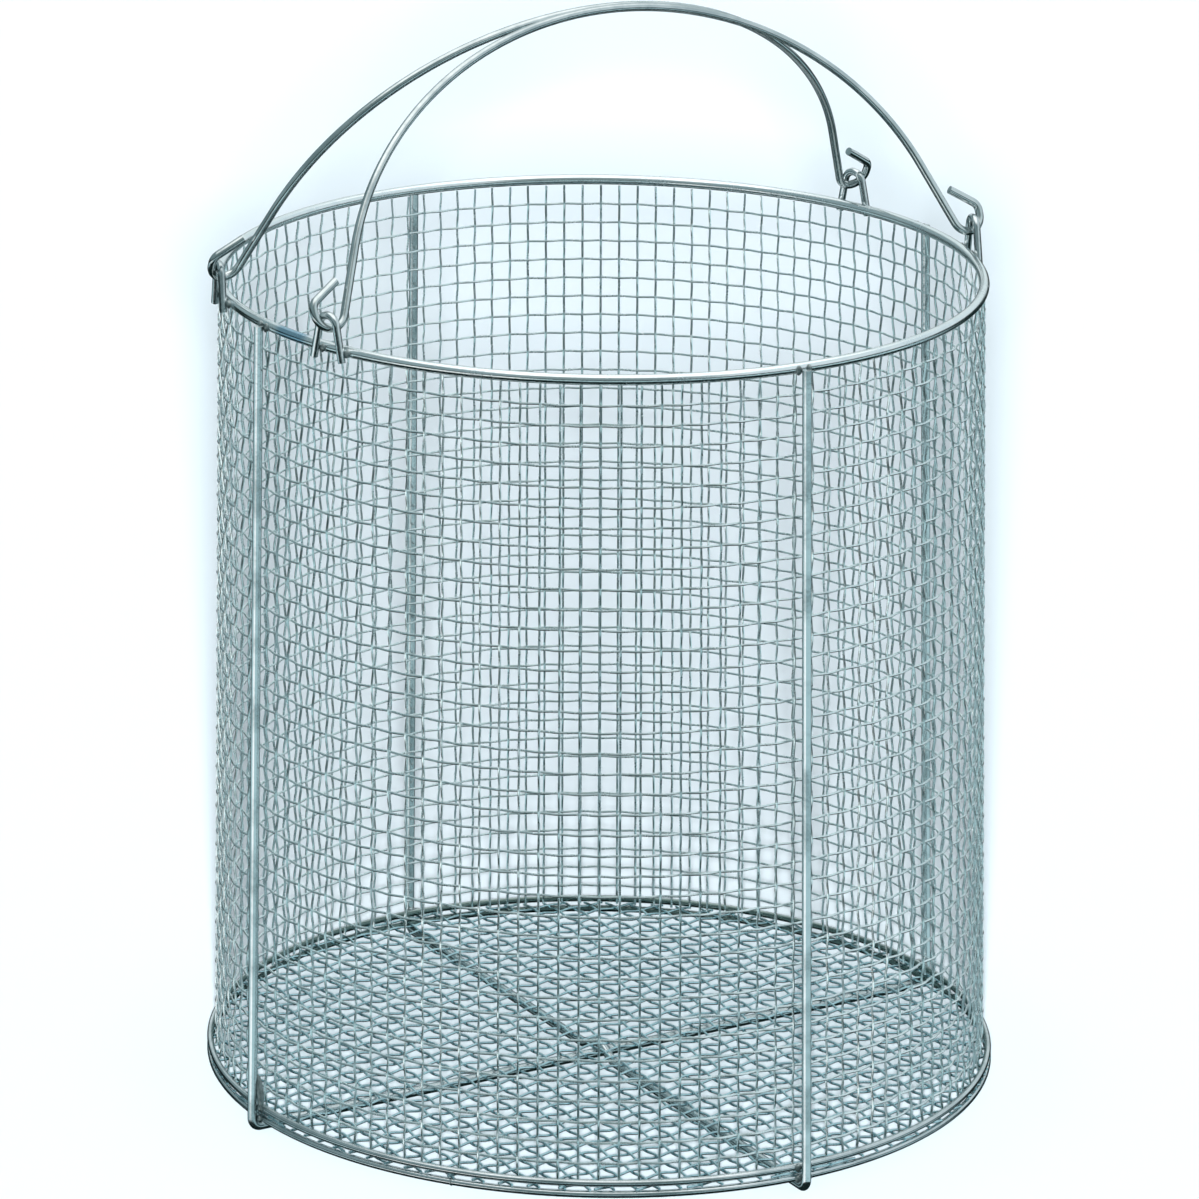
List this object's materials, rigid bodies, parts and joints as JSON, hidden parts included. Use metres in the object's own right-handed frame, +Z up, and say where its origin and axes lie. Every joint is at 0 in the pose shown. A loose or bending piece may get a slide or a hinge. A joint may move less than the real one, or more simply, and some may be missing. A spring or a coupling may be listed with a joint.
{
  "type": "wire washing basket",
  "caption": "Round open-topped washing basket of welded stainless steel wire, with woven mesh wall and floor, base rings, crossed hoops and swinging bail handles hooked into ears on the rim.",
  "frame": {"origin": "centre of the basket on the surface it stands on", "axes": "+Z up along the basket's axis; X along the hinge axes of the bails; -Y is the front"},
  "size_m": [0.3146, 0.3144, 0.4128],
  "materials": {
    "frame_wire": "bright electropolished stainless steel wire",
    "mesh_wire": "bright stainless steel wire cloth, plain weave",
    "bail_wire": "bright polished stainless steel wire"
  },
  "bodies": {
    "basket": {"rim_ring": "frame_wire", "base_ring_upper": "frame_wire", "base_ring_lower": "frame_wire", "hoop_long": "frame_wire", "hoop_cross": "frame_wire", "floor_mesh": "mesh_wire", "wall_mesh_01": "mesh_wire", "wall_mesh_02": "mesh_wire", "wall_mesh_03": "mesh_wire", "wall_mesh_04": "mesh_wire", "wall_mesh_05": "mesh_wire", "wall_mesh_06": "mesh_wire", "wall_mesh_07": "mesh_wire", "wall_mesh_08": "mesh_wire", "wall_mesh_09": "mesh_wire", "wall_mesh_10": "mesh_wire", "wall_mesh_11": "mesh_wire", "wall_mesh_12": "mesh_wire", "wall_mesh_13": "mesh_wire", "wall_mesh_14": "mesh_wire", "ear_front_left": "frame_wire", "ear_front_right": "frame_wire", "ear_back_left": "frame_wire", "ear_back_right": "frame_wire"},
    "bail_front": {"bail_front": "bail_wire"},
    "bail_back": {"bail_back": "bail_wire"}
  },
  "joints": [
    {"name": "bail_front_swing", "type": "hinge", "parent": "basket", "child": "bail_front", "pos_m": [0, -0.04239, 0.3154], "axis": [1, 0, 0], "range_deg": [0, 116.2]},
    {"name": "bail_back_swing", "type": "hinge", "parent": "basket", "child": "bail_back", "pos_m": [0, 0.04239, 0.3154], "axis": [-1, 0, 0], "range_deg": [0, 116.2]}
  ]
}
